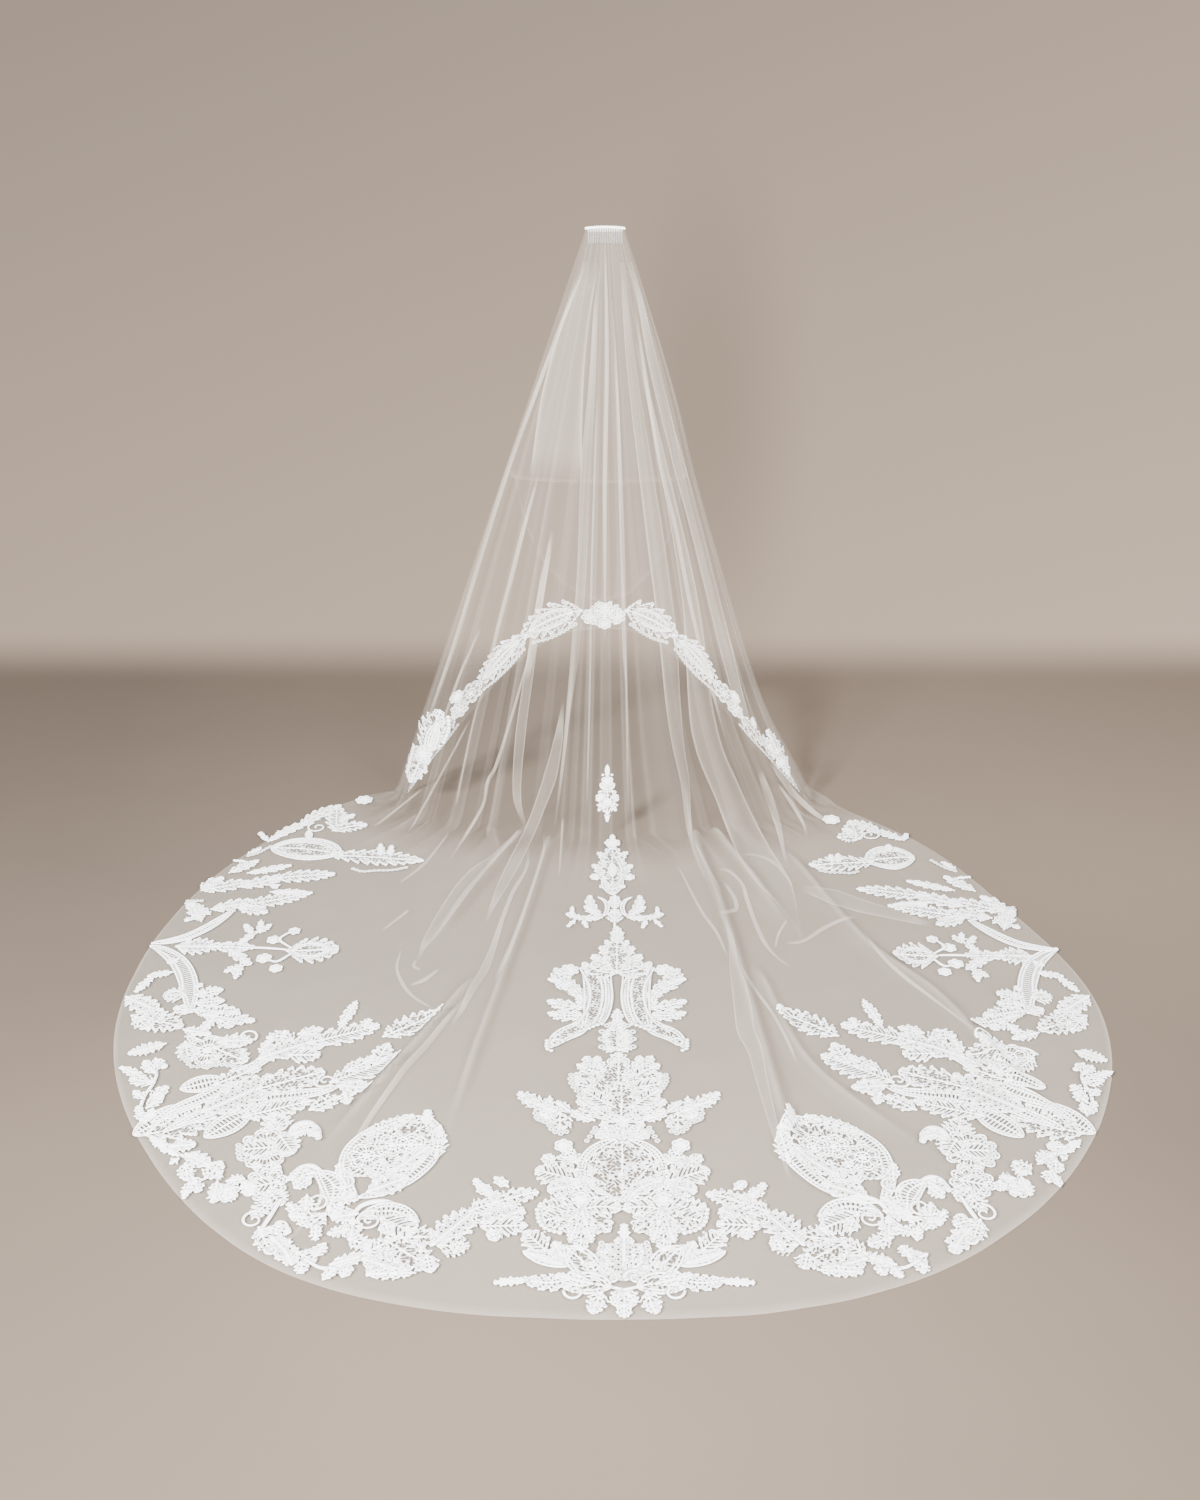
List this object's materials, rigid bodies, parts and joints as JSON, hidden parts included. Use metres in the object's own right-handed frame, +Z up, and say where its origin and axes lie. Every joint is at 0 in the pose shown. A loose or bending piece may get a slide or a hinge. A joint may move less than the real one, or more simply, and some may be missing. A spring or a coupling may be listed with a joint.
{
  "type": "bridal veil",
  "caption": "Long drop veil of white tulle gathered on a hair comb, with corded lace on its spread train and on the arched hem of its short side.",
  "frame": {"origin": "under the middle of the comb's bar, between the roots of its teeth, where the comb is pinned on", "axes": "+Z up, +X along the comb, and the train runs out towards -Y on a floor 1.6 m below the origin"},
  "size_m": [2.253, 2.0195, 1.605],
  "materials": {
    "comb": null,
    "tulle": "fine see-through net, white",
    "lace": "matt corded lace, white, pierced"
  },
  "bodies": {
    "root": {"comb": "comb", "veil_tulle": "tulle", "inner_tulle": "tulle", "hem_lace": "lace", "finial": "lace", "shield": "lace", "wing_crest": "lace", "keyhole_arch": "lace", "pine": "lace", "bloom": "lace", "spray_left": "lace", "spray_right": "lace", "bell_medallion": "lace", "palmette": "lace", "side_scroll_left": "lace", "side_scroll_right": "lace", "egg_leaf_left": "lace", "egg_leaf_right": "lace", "upper_leaf_left": "lace", "upper_leaf_right": "lace", "inner_leaf_left": "lace", "inner_leaf_right": "lace", "stem_bud_left": "lace", "stem_bud_right": "lace", "edge_leaf_left": "lace", "edge_leaf_right": "lace", "edge_spray_left": "lace", "edge_spray_right": "lace", "crest_left": "lace", "crest_right": "lace", "twig_left": "lace", "twig_right": "lace", "big_leaf_left": "lace", "big_leaf_right": "lace", "flower_spray_left": "lace", "flower_spray_right": "lace", "border_spray_left": "lace", "border_spray_right": "lace", "lower_sprig_left": "lace", "lower_sprig_right": "lace", "oval_medallion_left": "lace", "oval_medallion_right": "lace", "curl_left": "lace", "curl_right": "lace", "long_curl_left": "lace", "long_curl_right": "lace", "swag_left": "lace", "swag_right": "lace"}
  },
  "joints": []
}
